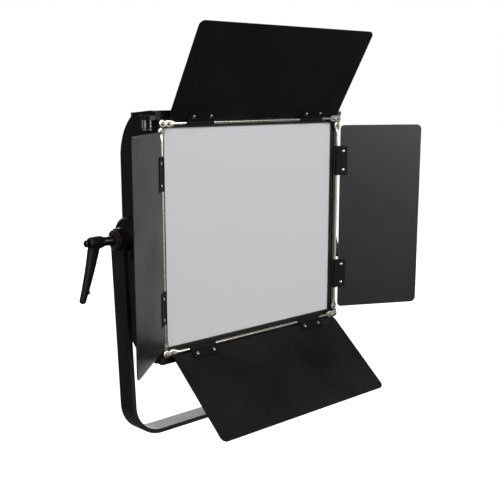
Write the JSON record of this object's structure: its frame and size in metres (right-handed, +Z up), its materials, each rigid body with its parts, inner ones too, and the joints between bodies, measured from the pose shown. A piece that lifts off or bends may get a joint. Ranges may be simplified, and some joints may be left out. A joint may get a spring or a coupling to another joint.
{
  "type": "led panel light",
  "caption": "Square LED panel light head with four folding barn doors on bright rods, tilting in a U-shaped yoke with clamp levers and a stand socket.",
  "frame": {"origin": "centre of the stand socket's mouth, under the yoke", "axes": "+Z up out of the yoke, the light shines towards -Y, X along the tilt axis with +X to the right seen from in front of -Y"},
  "size_m": [0.5461, 0.2073, 0.5813],
  "materials": {
    "black_sheet": "fine black powder coat",
    "door_sheet": "satin black powder coat",
    "yoke_paint": "semi-gloss black paint",
    "bright_rod": "polished, fine draw marks",
    "hinge_sheet": "matt black paint",
    "bright_edge": "anodised bead",
    "zinc_screw": "zinc plated",
    "black_screw": "blackened steel",
    "steel": "turned steel",
    "collar": "ribbed brown-black plastic",
    "black_plastic": "moulded, fine grain",
    "lever_plastic": "glass-filled nylon, satin",
    "bush_nylon": "nylon",
    "diffuser": "milky acrylic, matt",
    "white_plastic": "white reflecting plastic",
    "board": "white solder mask",
    "led": "yellow phosphor",
    "green_board": "green solder mask",
    "sink": "extruded, plain",
    "cast_black": "painted die casting",
    "brass": "turned brass",
    "panel": "dark grey, satin",
    "window": "smoked display window"
  },
  "bodies": {
    "yoke": {"yoke_bar": "yoke_paint", "stand_receiver": "cast_black", "receiver_bolt": "zinc_screw", "left_arm_bush": "bush_nylon", "right_arm_bush": "bush_nylon", "left_collar": "collar", "right_collar": "collar"},
    "lock_plug": {"lock_plug": "brass"},
    "lock_knob": {"lock_screw": "zinc_screw", "lock_knob": "black_plastic"},
    "head": {"rear_shell": "black_sheet", "front_frame": "black_sheet", "diffuser": "diffuser", "mixing_frame": "white_plastic", "led_board": "board", "led_chips": "led", "heat_sink": "sink", "driver_board": "green_board", "left_pivot_disc": "cast_black", "right_pivot_disc": "cast_black", "left_pivot_stud": "steel", "right_pivot_stud": "steel", "corner_tabs": "black_sheet", "top_rod": "bright_rod", "bottom_rod": "bright_rod", "left_rod": "bright_rod", "right_rod": "bright_rod", "rod_screws": "black_screw", "shell_screws": "black_screw", "accessory_clips": "black_plastic", "clip_pins": "bright_rod", "control_plate": "panel", "display_window": "window", "dc_inlet": "black_plastic", "control_bodies": "black_plastic", "left_bead": "bright_edge", "right_bead": "bright_edge"},
    "brightness_knob": {"brightness_knob": "black_plastic"},
    "colour_knob": {"colour_knob": "black_plastic"},
    "power_rocker": {"power_rocker": "black_plastic"},
    "top_door": {"top_leaf": "door_sheet", "top_hinges": "hinge_sheet", "top_rivets": "zinc_screw"},
    "bottom_door": {"bottom_leaf": "door_sheet", "bottom_hinges": "hinge_sheet", "bottom_rivets": "zinc_screw"},
    "left_door": {"left_leaf": "door_sheet", "left_hinges": "hinge_sheet", "left_rivets": "zinc_screw"},
    "right_door": {"right_leaf": "door_sheet", "right_hinges": "hinge_sheet", "right_rivets": "zinc_screw"},
    "left_hub": {"left_lever_hub": "black_screw", "left_lever_screw": "black_screw"},
    "left_handle": {"left_lever": "lever_plastic"},
    "right_hub": {"right_lever_hub": "black_screw", "right_lever_screw": "black_screw"},
    "right_handle": {"right_lever": "lever_plastic"}
  },
  "joints": [
    {"name": "head_tilt", "type": "hinge", "parent": "yoke", "child": "head", "pos_m": [0, 0, 0.315], "axis": [-1, 0, 0], "range_deg": [-18, 90]},
    {"name": "top_door_fold", "type": "hinge", "parent": "head", "child": "top_door", "pos_m": [0, -0.0836, 0.46431], "axis": [1, 0, 0], "range_deg": [-40.5, 144.5]},
    {"name": "bottom_door_fold", "type": "hinge", "parent": "head", "child": "bottom_door", "pos_m": [0, -0.06581, 0.16483], "axis": [-1, 0, 0], "range_deg": [-60.5, 124.5]},
    {"name": "left_door_fold", "type": "hinge", "parent": "head", "child": "left_door", "pos_m": [-0.16, -0.07271, 0.31469], "axis": [0, 0.0593, -0.9982], "range_deg": [-134, 51]},
    {"name": "right_door_fold", "type": "hinge", "parent": "head", "child": "right_door", "pos_m": [0.16, -0.07271, 0.31469], "axis": [0, -0.0593, 0.9982], "range_deg": [-148, 37]},
    {"name": "left_clamp_turn", "type": "hinge", "parent": "yoke", "child": "left_hub", "pos_m": [-0.2, 0, 0.315], "axis": [-1, 0, 0], "range_deg": [-125, 125]},
    {"name": "left_handle_pull", "type": "slide", "parent": "left_hub", "child": "left_handle", "axis": [-1, 0, 0], "range_m": [0, 0.004], "stiffness_N_per_m": 400},
    {"name": "right_clamp_turn", "type": "hinge", "parent": "yoke", "child": "right_hub", "pos_m": [0.2, 0, 0.315], "axis": [1, 0, 0], "range_deg": [-125, 125]},
    {"name": "right_handle_pull", "type": "slide", "parent": "right_hub", "child": "right_handle", "axis": [1, 0, 0], "range_m": [0, 0.004], "stiffness_N_per_m": 400},
    {"name": "brightness_turn", "type": "hinge", "parent": "head", "child": "brightness_knob", "pos_m": [-0.036, 0.02062, 0.23709], "axis": [0, 0.9982, 0.0593], "continuous": true},
    {"name": "colour_turn", "type": "hinge", "parent": "head", "child": "colour_knob", "pos_m": [0.036, 0.02062, 0.23709], "axis": [0, 0.9982, 0.0593], "continuous": true},
    {"name": "power_rock", "type": "hinge", "parent": "head", "child": "power_rocker", "pos_m": [-0.057, 0.02112, 0.23711], "axis": [-1, 0, 0], "range_deg": [-14, 0]},
    {"name": "lock_turn", "type": "hinge", "parent": "lock_plug", "child": "lock_knob", "pos_m": [0.02, 0, 0.014], "axis": [-1, 0, 0], "range_deg": [-361, 145]},
    {"name": "lock_travel", "type": "slide", "parent": "yoke", "child": "lock_plug", "axis": [-1, 0, 0], "range_m": [-0.00125, 0.0005]}
  ],
  "couplings": [
    {"joint": "lock_turn", "follows": "lock_travel", "rad_per_m": 5026.5}
  ]
}
